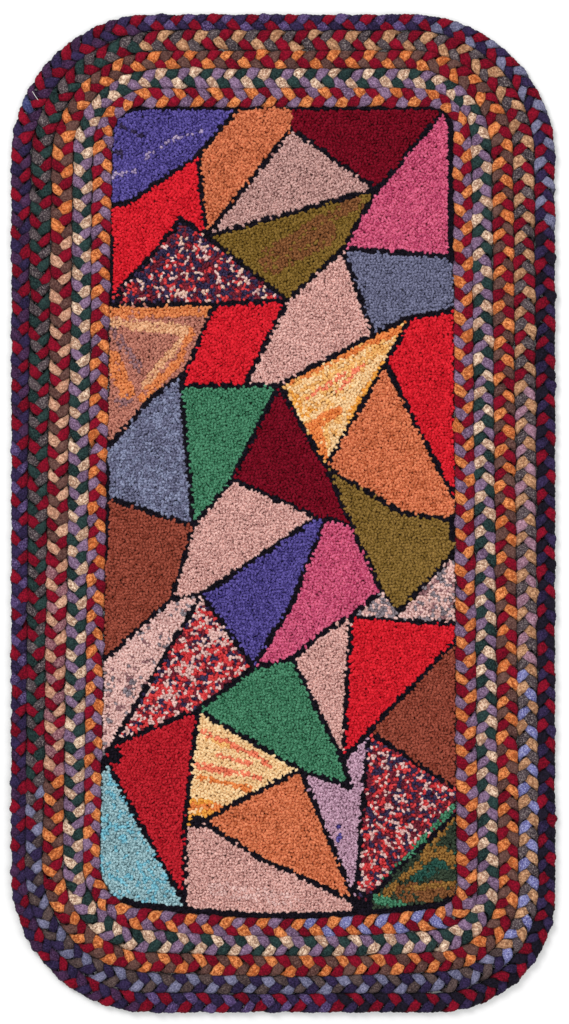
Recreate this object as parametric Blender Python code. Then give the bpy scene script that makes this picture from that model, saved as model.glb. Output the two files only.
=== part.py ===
# Hooked rug: a hooked wool panel with five rows of three-strand braid laced round it.
# Metres, +Z up. The rug lies flat with its underside at z = 0 and its length along Y.
# The origin is on the underside, in the middle of the rug's box.

import bmesh
import bpy
import numpy as np

RUG_NAME = "hooked_rug"
MM = 0.001
GAP = 0.3 * MM  # between two neighbouring pieces

PANEL_HEIGHT = 9 * MM  # foundation cloth and its loops
PANEL_UNEVEN = 0.5 * MM  # rise and fall of the loops' tops
# Waves that cross in the loops' tops: radians a metre along X, the same along Y, and the phase
PANEL_SWELLS = ((31.0, 23.0, 0.7), (17.0, -29.0, 0.0))
PANEL_ARC_POINTS = 9
PANEL_SIDE_POINTS = 15
# Up the panel's rounded edge: share of its height, and how far in from its outline
PANEL_EDGE_RINGS = ((0.0, 1.2 * MM), (0.35, 0.0), (0.75, 0.4 * MM))
# Across its top, how far in from the outline each ring of points lies
PANEL_TOP_RINGS = (3.5 * MM, 30 * MM, 80 * MM, 140 * MM)

BRAID_HEIGHT = 12 * MM
LOBES_PER_TWIST = 3  # one for each strand, along either edge of a braid
SIDE_SEAM_HEIGHT = 0.52  # of the low point between two lobes at the edge, as a share of the braid's height
SIDE_CREST_HEIGHT = 0.5  # of a lobe's outermost point
MIDDLE_SEAM_HEIGHT = 0.76  # where the strands meet in the middle
LOBE_TOP_ACROSS = 0.5  # where a lobe is highest, from the middle (0) to the edge (1)
MIDDLE_ACROSS = 0.1  # how far the middle seam swings to each side
FOOT_ACROSS = 0.68  # how far out the flat underside reaches
SCALLOP = 1.6 * MM  # how far the outermost row's edge draws in between two lobes

# The rug's edge, the four seams between the rows and the panel's edge, in millimetres from the rug's middle.
# Each side is straight between its corners' arcs, and the foot bows out by foot_bow.
SEAM_COLUMNS = (
    "left_top", "left_foot", "right_top", "right_foot", "top", "foot", "foot_bow",
    "round_top_left", "round_top_right", "round_foot_left", "round_foot_right",
)
SEAM_ROWS = (
    (-319, -319, 319, 319, 585, -585, 0, 167, 170, 163, 139),
    (-296, -302, 294, 299, 566, -561, 1, 158, 147, 145, 120),
    (-271, -282, 269, 276, 542, -537, 5, 129, 119, 124, 98),
    (-246, -258, 244, 252, 521, -514, 4, 101, 98, 102, 76),
    (-223, -234, 220, 228, 498, -488, 7, 70, 63, 76, 50),
    (-200, -215, 199, 203, 476, -462, 12, 35, 26, 53, 26),
)

# A twist is one full turn of the three strands. A row runs clockwise seen from above, or the other way.
BRAID_COLUMNS = ("twists", "clockwise", "foot_step", "colour")
BRAID_ROWS = (
    (73, True, 3, (0.16, 0.03, 0.08)),
    (71, True, 3, (0.17, 0.09, 0.10)),
    (71, True, 3, (0.38, 0.11, 0.06)),
    (70, True, 3, (0.30, 0.24, 0.24)),
    (64, False, 1, (0.36, 0.13, 0.14)),
)
PANEL_COLOUR = (0.33, 0.10, 0.09)
WOOL_ROUGHNESS = 0.95

ARC_POINTS = 48
SIDE_POINTS = 96
FINE_POINTS = 4000  # round a seam, where a distance to it is measured
STEPS_PER_LOBE = 4
SHARP_DEGREES = 50


def clear_scene():
    for old in list(bpy.data.objects):
        bpy.data.objects.remove(old, do_unlink=True)


def named(columns, row):
    return dict(zip(columns, row))


def between(first, second):
    return {key: (first[key] + second[key]) / 2 for key in first}


def corner(centre_x, centre_y, radius, start_degrees, arc_points):
    angles = np.radians(start_degrees - np.linspace(0, 90, arc_points))
    return np.column_stack((centre_x + radius * np.cos(angles), centre_y + radius * np.sin(angles)))


def side(start, end, side_points, bow=0.0):
    share = np.linspace(0, 1, side_points + 2)[1:-1]
    points = np.outer(1 - share, start) + np.outer(share, end)
    points[:, 1] -= 4 * bow * share * (1 - share)
    return points


def outline(seam, arc_points=ARC_POINTS, side_points=SIDE_POINTS):
    """The closed line of one seam, clockwise from its top left corner, in metres."""
    top_left = corner(
        seam["left_top"] + seam["round_top_left"], seam["top"] - seam["round_top_left"],
        seam["round_top_left"], 180, arc_points,
    )
    top_right = corner(
        seam["right_top"] - seam["round_top_right"], seam["top"] - seam["round_top_right"],
        seam["round_top_right"], 90, arc_points,
    )
    foot_right = corner(
        seam["right_foot"] - seam["round_foot_right"], seam["foot"] + seam["round_foot_right"],
        seam["round_foot_right"], 0, arc_points,
    )
    foot_left = corner(
        seam["left_foot"] + seam["round_foot_left"], seam["foot"] + seam["round_foot_left"],
        seam["round_foot_left"], 270, arc_points,
    )
    runs = (
        top_left, side(top_left[-1], top_right[0], side_points),
        top_right, side(top_right[-1], foot_right[0], side_points),
        foot_right, side(foot_right[-1], foot_left[0], side_points, seam["foot_bow"]),
        foot_left, side(foot_left[-1], top_left[0], side_points),
    )
    return np.vstack(runs) * MM


def evenly_spaced(line, count):
    """Points at equal steps along a closed line."""
    closed = np.vstack((line, line[:1]))
    steps = np.linalg.norm(np.diff(closed, axis=0), axis=1)
    travelled = np.concatenate(([0.0], np.cumsum(steps)))
    wanted = np.linspace(0, travelled[-1], count, endpoint=False)
    return np.column_stack([np.interp(wanted, travelled, closed[:, axis]) for axis in (0, 1)])


def outward_normals(line):
    ahead = np.roll(line, -1, axis=0) - np.roll(line, 1, axis=0)
    normals = np.column_stack((-ahead[:, 1], ahead[:, 0]))
    return normals / np.linalg.norm(normals, axis=1)[:, None]


def distance_to(line, points):
    fine = evenly_spaced(line, FINE_POINTS)
    return np.array([np.linalg.norm(fine - point, axis=1).min() for point in points])


def wool(name, colour):
    material = bpy.data.materials.new(name)
    material.use_nodes = True
    shader = material.node_tree.nodes["Principled BSDF"]
    shader.inputs["Base Color"].default_value = (*colour, 1)
    shader.inputs["Roughness"].default_value = WOOL_ROUGHNESS
    shader.inputs["Metallic"].default_value = 0
    return material


def add_piece(name, bm, colour, collection):
    bmesh.ops.recalc_face_normals(bm, faces=bm.faces)
    mesh = bpy.data.meshes.new(name)
    bm.to_mesh(mesh)
    bm.free()
    mesh.shade_smooth()
    mesh.set_sharp_from_angle(angle=np.radians(SHARP_DEGREES))
    mesh.materials.append(wool(name + "_wool", colour))
    piece = bpy.data.objects.new(name, mesh)
    collection.objects.link(piece)
    return piece


def panel_height_at(point):
    """The low swells in the loops' tops."""
    waves = [np.sin(point[0] * wave[0] + point[1] * wave[1] + wave[2]) for wave in PANEL_SWELLS]
    return PANEL_HEIGHT + PANEL_UNEVEN * np.mean(waves)


def shrunk_towards_middle(edge, inset):
    low = edge.min(axis=0)
    high = edge.max(axis=0)
    middle = (low + high) / 2
    half = (high - low) / 2
    return middle + (edge - middle) * (1 - inset / half)


def add_panel(collection):
    """The hooked panel: rings of points from its underside, up its rounded edge and in over its top."""
    panel_seam = named(SEAM_COLUMNS, SEAM_ROWS[-1])
    edge = outline(panel_seam, PANEL_ARC_POINTS, PANEL_SIDE_POINTS)
    normals = outward_normals(edge)
    bm = bmesh.new()
    rings = []
    for share, inset in PANEL_EDGE_RINGS:
        ring = edge - normals * (GAP / 2 + inset)
        rings.append([bm.verts.new((*point, PANEL_HEIGHT * share)) for point in ring])
    for inset in PANEL_TOP_RINGS:
        ring = shrunk_towards_middle(edge, inset)
        rings.append([bm.verts.new((*point, panel_height_at(point))) for point in ring])
    for lower, upper in zip(rings, rings[1:]):
        for index in range(len(edge)):
            after = (index + 1) % len(edge)
            bm.faces.new((lower[index], lower[after], upper[after], upper[index]))
    bm.faces.new(rings[0])
    bm.faces.new(rings[-1])
    return add_piece("hooked_panel", bm, PANEL_COLOUR, collection)


def fan(bm, top, around):
    for index, vert in enumerate(around):
        bm.faces.new((top, vert, around[(index + 1) % len(around)]))


def skirt(bm, chain, feet):
    """The side below the lobes, from the edge's many points down to the underside's fewer ones."""
    per_foot = len(chain) // len(feet)
    for index, foot in enumerate(feet):
        next_foot = feet[(index + 1) % len(feet)]
        run = [chain[(index * per_foot + k) % len(chain)] for k in range(per_foot + 1)]
        half = (per_foot + 1) // 2
        for k in range(half):
            bm.faces.new((foot, run[k], run[k + 1]))
        bm.faces.new((foot, run[half], next_foot))
        for k in range(half, per_foot):
            bm.faces.new((next_foot, run[k], run[k + 1]))


def add_braid(number, collection):
    """One braid row: two files of slanting lobes, half a lobe apart, meeting along a swinging middle seam."""
    row = named(BRAID_COLUMNS, BRAID_ROWS[number - 1])
    outer = named(SEAM_COLUMNS, SEAM_ROWS[number - 1])
    inner = named(SEAM_COLUMNS, SEAM_ROWS[number])
    lobes = row["twists"] * LOBES_PER_TWIST
    steps = lobes * STEPS_PER_LOBE
    middle = evenly_spaced(outline(between(outer, inner)), steps)
    if not row["clockwise"]:
        middle = middle[::-1]
    normals = outward_normals(middle)
    if not row["clockwise"]:
        normals = -normals
    reach_out = distance_to(outline(outer), middle) - GAP / 2
    reach_in = distance_to(outline(inner), middle) - GAP / 2
    bm = bmesh.new()

    def point(lobe, quarter, across, height, draw_in=0.0):
        step = (lobe * STEPS_PER_LOBE + quarter) % steps
        reach = reach_out[step] if across > 0 else reach_in[step]
        place = middle[step] + normals[step] * (across * reach - np.sign(across) * draw_in)
        return bm.verts.new((*place, BRAID_HEIGHT * height))

    scallop = SCALLOP if number == 1 else 0.0
    outer_tops = [point(n, 0, LOBE_TOP_ACROSS, 1) for n in range(lobes)]
    outer_seams = [point(n, 3, 1, SIDE_SEAM_HEIGHT, scallop) for n in range(lobes)]
    outer_feet = [point(n, 3, FOOT_ACROSS, 0) for n in range(0, lobes, row["foot_step"])]
    middle_outer = [point(n, 1, -MIDDLE_ACROSS, MIDDLE_SEAM_HEIGHT) for n in range(lobes)]
    middle_inner = [point(n, 3, MIDDLE_ACROSS, MIDDLE_SEAM_HEIGHT) for n in range(lobes)]
    inner_tops = [point(n, 2, -LOBE_TOP_ACROSS, 1) for n in range(lobes)]
    inner_seams = [point(n, 5, -1, SIDE_SEAM_HEIGHT) for n in range(lobes)]
    inner_feet = [point(n, 5, -FOOT_ACROSS, 0) for n in range(0, lobes, row["foot_step"])]
    outer_edge = [[seam] for seam in outer_seams]
    if number == 1:
        outer_edge = [[seam, point(n, 5, 1, SIDE_CREST_HEIGHT)] for n, seam in enumerate(outer_seams)]

    for n in range(lobes):
        before = n - 1
        after = (n + 1) % lobes
        around_outer = [middle_outer[before], middle_inner[before], middle_outer[n], outer_seams[n]]
        around_outer += list(reversed(outer_edge[before]))
        fan(bm, outer_tops[n], around_outer)
        around_inner = [middle_inner[before], middle_outer[n], middle_inner[n]]
        around_inner += [inner_seams[n], inner_seams[before]]
        fan(bm, inner_tops[n], around_inner)

    outer_chain = [vert for group in outer_edge for vert in group]
    skirt(bm, outer_chain, outer_feet)
    skirt(bm, inner_seams, inner_feet)
    for index in range(len(outer_feet)):
        after = (index + 1) % len(outer_feet)
        bm.faces.new((outer_feet[index], outer_feet[after], inner_feet[after], inner_feet[index]))
    return add_piece("braid_row_%d" % number, bm, row["colour"], collection)


def main():
    clear_scene()
    collection = bpy.data.collections.new(RUG_NAME)
    bpy.context.scene.collection.children.link(collection)
    add_panel(collection)
    for number in range(1, len(BRAID_ROWS) + 1):
        add_braid(number, collection)


main()
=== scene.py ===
import bpy
import numpy as np
from mathutils.kdtree import KDTree
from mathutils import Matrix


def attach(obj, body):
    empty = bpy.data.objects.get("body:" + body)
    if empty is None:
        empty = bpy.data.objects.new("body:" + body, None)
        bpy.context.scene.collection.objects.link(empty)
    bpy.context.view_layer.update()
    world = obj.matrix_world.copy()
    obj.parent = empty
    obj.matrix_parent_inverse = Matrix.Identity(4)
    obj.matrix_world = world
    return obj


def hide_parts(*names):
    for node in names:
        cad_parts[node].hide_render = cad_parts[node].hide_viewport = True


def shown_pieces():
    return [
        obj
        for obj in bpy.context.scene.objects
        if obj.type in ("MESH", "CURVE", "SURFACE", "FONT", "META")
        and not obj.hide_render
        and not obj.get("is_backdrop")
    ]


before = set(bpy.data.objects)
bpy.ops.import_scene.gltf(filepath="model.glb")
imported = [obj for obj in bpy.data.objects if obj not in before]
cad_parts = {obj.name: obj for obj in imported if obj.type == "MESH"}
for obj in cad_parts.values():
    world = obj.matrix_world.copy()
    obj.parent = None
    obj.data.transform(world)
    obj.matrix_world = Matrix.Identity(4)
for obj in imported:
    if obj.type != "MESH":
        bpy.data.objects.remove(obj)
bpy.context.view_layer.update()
mm = 0.001
chance = np.random.default_rng(19)
print("frame loaded,", len(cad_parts), "nodes")

# camera and the picture it takes, 569 x 1024 pixels
view = {
    "pictureHeight": 1024,
    "mmPerPixel": 1.17,
    "originPixel": (283.3, 513.5),  # where the rug's middle lies in the picture
    "middlePixel": (284.5, 512.0),
    "distance": 4.0,
    "sensor": 36.0,
}


def addCamera():
    data = bpy.data.cameras.new("camera")
    data.sensor_fit = "VERTICAL"
    data.sensor_height = view["sensor"]
    seenHeight = view["pictureHeight"] * view["mmPerPixel"] * mm
    data.lens = view["sensor"] * view["distance"] / seenHeight
    camera = bpy.data.objects.new("camera", data)
    across = (view["middlePixel"][0] - view["originPixel"][0]) * view["mmPerPixel"] * mm
    along = (view["originPixel"][1] - view["middlePixel"][1]) * view["mmPerPixel"] * mm
    camera.location = (across, along, view["distance"] + 10 * mm)
    bpy.context.scene.collection.objects.link(camera)
    bpy.context.scene.camera = camera


addCamera()


# shader helpers
class Socket:
    # a node's output that can stand in a sum
    def __init__(self, shade, output):
        self.shade = shade
        self.output = output

    def __add__(self, other):
        return self.shade.maths("ADD", self, other)

    def __sub__(self, other):
        return self.shade.maths("SUBTRACT", self, other)

    def __rsub__(self, other):
        return self.shade.maths("SUBTRACT", other, self)

    def __mul__(self, other):
        return self.shade.maths("MULTIPLY", self, other)

    __radd__ = __add__
    __rmul__ = __mul__


class Shade:
    # one material and the nodes that make it
    def __init__(self, name, look):
        self.material = bpy.data.materials.new(name)
        self.material.use_nodes = True
        self.tree = self.material.node_tree
        self.surface = self.tree.nodes["Principled BSDF"].inputs
        self.surface["Metallic"].default_value = 0
        self.surface["Roughness"].default_value = look["roughness"]
        self.surface["Sheen Weight"].default_value = look["sheen"]
        self.surface["Sheen Roughness"].default_value = 0.5
        self.surface["Specular IOR Level"].default_value = look["gloss"]

    def node(self, kind, settings=None, inputs=None, output=0):
        made = self.tree.nodes.new(kind)
        for key, value in (settings or {}).items():
            setattr(made, key, value)
        for key, value in (inputs or {}).items():
            self.feed(made.inputs[key], value)
        return Socket(self, made.outputs[output])

    def feed(self, socket, value):
        if isinstance(value, Socket):
            self.tree.links.new(value.output, socket)
        else:
            socket.default_value = value

    def maths(self, operation, *values):
        return self.node("ShaderNodeMath", {"operation": operation}, dict(enumerate(values)))

    def mix(self, factor, first, second):
        return self.node("ShaderNodeMix", {"data_type": "RGBA"}, {0: factor, 6: first, 7: second}, 2)

    def rise(self, value, low, high):
        # 0 below low, 1 above high, smooth in between
        inputs = {"Value": value, "From Min": low, "From Max": high}
        return self.node("ShaderNodeMapRange", {"interpolation_type": "SMOOTHSTEP"}, inputs)

    def noise(self, place, scale, detail=2.0, distortion=0.0):
        inputs = {"Vector": place, "Scale": scale, "Detail": detail, "Distortion": distortion}
        return self.node("ShaderNodeTexNoise", {}, inputs)

    def stretch(self, place, amounts):
        return self.node("ShaderNodeVectorMath", {"operation": "MULTIPLY"}, {0: place, 1: amounts})

    def height(self, place):
        return self.node("ShaderNodeSeparateXYZ", {}, {0: place}, 2)

    def attribute(self, name):
        return self.node("ShaderNodeAttribute", {"attribute_name": name}, {}, "Fac")

    def bump(self, field, strength, depth):
        inputs = {"Strength": strength, "Distance": depth, "Height": field}
        self.feed(self.surface["Normal"], self.node("ShaderNodeBump", {}, inputs))


def screen(colour, strength=1.0):
    # a screen colour as the linear one that a shader takes
    part = np.array(colour) / 255 * strength
    linear = np.where(part <= 0.04045, part / 12.92, ((part + 0.055) / 1.055) ** 2.4)
    return (*linear.tolist(), 1.0)


# outline of the rug, the seams between its rows and the panel's edge, in millimetres
seamColumns = (
    "leftTop", "leftFoot", "rightTop", "rightFoot", "top", "foot", "footBow",
    "roundTopLeft", "roundTopRight", "roundFootLeft", "roundFootRight",
)
seamRows = (
    (-319, -319, 319, 319, 585, -585, 0, 167, 170, 163, 139),
    (-296, -302, 294, 299, 566, -561, 1, 158, 147, 145, 120),
    (-271, -282, 269, 276, 542, -537, 5, 129, 119, 124, 98),
    (-246, -258, 244, 252, 521, -514, 4, 101, 98, 102, 76),
    (-223, -234, 220, 228, 498, -488, 7, 70, 63, 76, 50),
    (-200, -215, 199, 203, 476, -462, 12, 35, 26, 53, 26),
)
seams = [dict(zip(seamColumns, row)) for row in seamRows]


def corner(centreX, centreY, radius, startDegrees):
    angles = np.radians(startDegrees - np.linspace(0, 90, 48))
    return np.column_stack((centreX + radius * np.cos(angles), centreY + radius * np.sin(angles)))


def side(start, end, bow=0.0):
    share = np.linspace(0, 1, 98)[1:-1]
    points = np.outer(1 - share, start) + np.outer(share, end)
    points[:, 1] -= 4 * bow * share * (1 - share)
    return points


def outline(seam):
    # closed line of one seam, clockwise from its top left corner
    first, second = seam["roundTopLeft"], seam["roundTopRight"]
    third, fourth = seam["roundFootRight"], seam["roundFootLeft"]
    topLeft = corner(seam["leftTop"] + first, seam["top"] - first, first, 180)
    topRight = corner(seam["rightTop"] - second, seam["top"] - second, second, 90)
    footRight = corner(seam["rightFoot"] - third, seam["foot"] + third, third, 0)
    footLeft = corner(seam["leftFoot"] + fourth, seam["foot"] + fourth, fourth, 270)
    runs = (
        topLeft, side(topLeft[-1], topRight[0]),
        topRight, side(topRight[-1], footRight[0]),
        footRight, side(footRight[-1], footLeft[0], seam["footBow"]),
        footLeft, side(footLeft[-1], topLeft[0]),
    )
    return np.vstack(runs) * mm


def evenlySpaced(line, count):
    closed = np.vstack((line, line[:1]))
    travelled = np.concatenate(([0.0], np.cumsum(np.linalg.norm(np.diff(closed, axis=0), axis=1))))
    wanted = np.linspace(0, travelled[-1], count, endpoint=False)
    return np.column_stack([np.interp(wanted, travelled, closed[:, axis]) for axis in (0, 1)])


def outwardNormals(line):
    ahead = np.roll(line, -1, axis=0) - np.roll(line, 1, axis=0)
    normals = np.column_stack((-ahead[:, 1], ahead[:, 0]))
    return normals / np.linalg.norm(normals, axis=1)[:, None]


def treeOf(points):
    tree = KDTree(len(points))
    for index, point in enumerate(points):
        tree.insert((point[0], point[1], 0.0), index)
    tree.balance()
    return tree


def distanceTo(line, points):
    tree = treeOf(evenlySpaced(line, 4000))
    return np.array([tree.find((point[0], point[1], 0.0))[2] for point in points])


def newPiece(name, points, faces, materials, faceMaterial, pointValues, uvLayers):
    # one mesh from arrays: faces holds blocks of corners, each block with its own number of sides
    mesh = bpy.data.meshes.new(name)
    mesh.vertices.add(len(points))
    mesh.vertices.foreach_set("co", points.astype(np.float32).ravel())
    corners = np.concatenate([block.ravel() for block in faces])
    sizes = np.concatenate([np.full(len(block), block.shape[1]) for block in faces])
    mesh.loops.add(len(corners))
    mesh.loops.foreach_set("vertex_index", corners.astype(np.int32))
    mesh.polygons.add(len(sizes))
    mesh.polygons.foreach_set("loop_start", (np.cumsum(sizes) - sizes).astype(np.int32))
    for material in materials:
        mesh.materials.append(material)
    mesh.polygons.foreach_set("material_index", faceMaterial.astype(np.int32))
    mesh.update(calc_edges=True)
    for layer, places in uvLayers.items():
        mesh.uv_layers.new(name=layer).data.foreach_set("uv", places.astype(np.float32).ravel())
    for layer, values in pointValues.items():
        mesh.attributes.new(layer, "FLOAT", "POINT").data.foreach_set("value", values.astype(np.float32))
    mesh.shade_smooth()
    mesh.validate()
    piece = bpy.data.objects.new(name, mesh)
    bpy.context.scene.collection.objects.link(piece)
    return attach(piece, "root")


# braids: wool strips folded and braided in threes
braid = {
    "stations": 16,  # along one strand, for each twist
    "crowding": 0.25,  # how far the stations gather where the strip shows
    "sides": 10,
    "courseSteps": 40,  # points of the row's middle line, for each twist
    "stripWide": 11.4 * mm,
    "stripThick": 6.2 * mm,
    "rise": 3.0 * mm,
    "middleHeight": 6.05 * mm,
    "squareness": 0.95,  # of the strip's section: 1 is an ellipse
    "girth": 29.0 * mm,  # round the section
    "overlap": 0.7 * mm,  # how far a row presses into its neighbours
    "lowest": 0.05 * mm,
    "highest": 12.6 * mm,
    "bakeChunks": 7,
}
stripLook = {"roughness": 0.92, "sheen": 0.03, "gloss": 0.08}
# wool, deep and bright colour, how much fleck and in which colour, how strongly its folds crease and how dark
# the painted shade in the creases is
woolColumns = ("deep", "bright", "fleck", "fleckColour", "crease")
woolRows = (
    ("crimson", (84, 2, 20), (150, 16, 42), 0.0, (150, 16, 42), 0.3),
    ("navy", (22, 16, 38), (58, 44, 82), 0.3, (84, 72, 118), 0.2),
    ("ink", (10, 8, 16), (34, 28, 44), 0.2, (58, 50, 70), 0.2),
    ("plum", (36, 18, 42), (78, 46, 80), 0.4, (106, 80, 118), 0.2),
    ("heather", (42, 28, 60), (94, 74, 122), 0.6, (132, 114, 162), 0.2),
    ("denim", (44, 46, 88), (86, 90, 138), 0.3, (122, 126, 168), 0.2),
    ("slate", (78, 78, 106), (136, 134, 164), 0.4, (166, 166, 190), 0.4),
    ("beige", (160, 110, 78), (222, 174, 134), 0.3, (134, 78, 56), 0.9),
    ("charcoal", (42, 34, 40), (94, 80, 84), 0.7, (150, 138, 136), 0.3),
    ("brownTweed", (50, 38, 40), (94, 76, 74), 0.5, (130, 112, 106), 0.3),
    ("mauve", (122, 82, 100), (186, 142, 160), 0.4, (208, 176, 190), 0.6),
    ("periwinkle", (78, 74, 130), (142, 144, 198), 0.6, (196, 196, 226), 0.4),
    ("green", (14, 26, 28), (46, 68, 66), 0.4, (66, 92, 86), 0.2),
    ("orange", (192, 96, 46), (246, 160, 98), 0.3, (200, 80, 34), 1.0),
    ("brown", (66, 38, 36), (112, 78, 70), 0.5, (138, 106, 98), 0.3),
    ("peach", (186, 130, 104), (236, 190, 160), 0.3, (170, 100, 76), 0.9),
    ("mauveTweed", (100, 54, 66), (166, 114, 122), 0.6, (204, 160, 158), 0.3),
    ("lavender", (84, 60, 86), (150, 120, 152), 0.5, (178, 152, 180), 0.5),
    ("cream", (184, 138, 112), (252, 226, 198), 0.3, (170, 108, 82), 1.0),
)
stripWools = {name: dict(zip(woolColumns, row)) for name, *row in woolRows}


def stripMaterial(name):
    wool = stripWools[name]
    shade = Shade("strip_" + name, stripLook)
    place = shade.node("ShaderNodeTexCoord", {}, {}, "Object")
    along = shade.node("ShaderNodeUVMap", {"uv_map": "strip"})
    tone = shade.attribute("tone")
    rim = shade.attribute("rim")
    height = shade.height(place)
    cloud = shade.noise(place, 160.0)
    felt = shade.rise(shade.noise(place, 560.0, 3.0), 0.36, 0.64)
    fold = shade.noise(shade.stretch(along, (170.0, 300.0, 1.0)), 1.0, 1.0, 1.2)
    blend = cloud * 0.3 + tone * 0.4 + felt * 0.75 - 0.25
    colour = shade.mix(blend, screen(wool["deep"]), screen(wool["bright"]))
    if wool["fleck"]:
        fleck = shade.rise(shade.noise(place, 620.0, 1.0), 0.55, 0.64) * wool["fleck"]
        colour = shade.mix(fleck, colour, screen(wool["fleckColour"]))
    # painted shade in the creases where the strip is crushed at the crown, as short thick dashes
    nearLine = shade.maths("ABSOLUTE", fold - 0.5)
    crown = shade.rise(height, 8.6 * mm, 10.6 * mm) * (1 - shade.rise(rim, 0.1, 0.6))
    dashes = shade.rise(shade.noise(place, 300.0, 1.0), 0.40, 0.55)
    crease = (1 - shade.rise(nearLine, 0.04, 0.14)) * crown * dashes
    colour = shade.mix(crease * wool["crease"], colour, screen(wool["deep"], 0.8))
    # painted shade on the folded edges of a strip, which lie lower than the middle of its face
    colour = shade.mix(rim * 0.8, colour, screen(wool["deep"], 0.4))
    # wool lies in its own shade down between the strips
    shadeDepth = shade.rise(height, 4.5 * mm, 10.8 * mm)
    colour = shade.mix(shadeDepth, screen(wool["deep"], 0.3), colour)
    shade.feed(shade.surface["Base Color"], colour)
    shade.bump(felt * 0.5 - crease * (0.9 * wool["crease"]) + fold * 0.5, 0.9, 0.6 * mm)
    return shade.material


stripMaterials = {name: stripMaterial(name) for name in stripWools}

# each stretch: where it starts, in millimetres, and its three wools in the order in which they show
braidRows = (
    {
        "twists": 73, "clockwise": True,
        "stretches": (
            ((-308, 86), ("crimson", "plum", "navy")),
            ((-303, 465), ("crimson", "denim", "plum")),
            ((-290, 492), ("crimson", "plum", "navy")),
            ((-168, 575), ("crimson", "heather", "navy")),
            ((172, 575), ("crimson", "slate", "navy")),
            ((308, 340), ("crimson", "ink", "navy")),
            ((70, -573), ("crimson", "heather", "navy")),
            ((-168, -573), ("crimson", "plum", "navy")),
            ((-308, -218), ("crimson", "heather", "navy")),
        ),
    },
    {
        "twists": 71, "clockwise": True,
        "stretches": (
            ((-176, 552), ("beige", "charcoal", "crimson")),
            ((284, 162), ("beige", "charcoal", "mauve")),
            ((284, -182), ("beige", "charcoal", "periwinkle")),
            ((262, -520), ("navy", "brownTweed", "slate")),
            ((-292, -362), ("charcoal", "crimson", "slate")),
            ((-290, -306), ("charcoal", "crimson", "green")),
        ),
    },
    {
        "twists": 71, "clockwise": True,
        "stretches": (
            ((-270, -300), ("peach", "mauveTweed", "crimson")),
            ((-265, -54), ("peach", "brown", "crimson")),
            ((-260, 332), ("orange", "brown", "crimson")),
        ),
    },
    {
        "twists": 70, "clockwise": True,
        "stretches": (((-235, 0), ("lavender", "cream", "green")),),
    },
    {
        "twists": 64, "clockwise": False,
        "stretches": (
            ((27, -480), ("orange", "periwinkle", "crimson")),
            ((186, -460), ("orange", "lavender", "crimson")),
        ),
    },
)


def eased(values, position):
    # values at whole positions round a closed row, joined smoothly
    low = np.floor(position).astype(int)
    share = position - low
    share = share * share * (3 - 2 * share)
    return values[low % len(values)] * (1 - share) + values[(low + 1) % len(values)] * share


def stripDirection(turn):
    # which way the flat of the strip faces, across the row and up, through one wave
    half = np.mod(turn, np.pi)
    lean = half - 0.5 * np.sin(2 * half)
    sign = np.where(np.mod(turn, 2 * np.pi) < np.pi, 1.0, -1.0)
    return np.sin(lean), sign * np.cos(lean)


def signedPower(value, power):
    return np.sign(value) * np.abs(value) ** power


def plumpness(turn):
    # width of the strip: full at each crown, narrow where it turns over at the edge of the row
    wave = np.sin(2 * turn)
    return 0.76 + np.where(wave > 0, 0.32, -0.22) * wave + 0.12 * np.cos(2 * turn)


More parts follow.
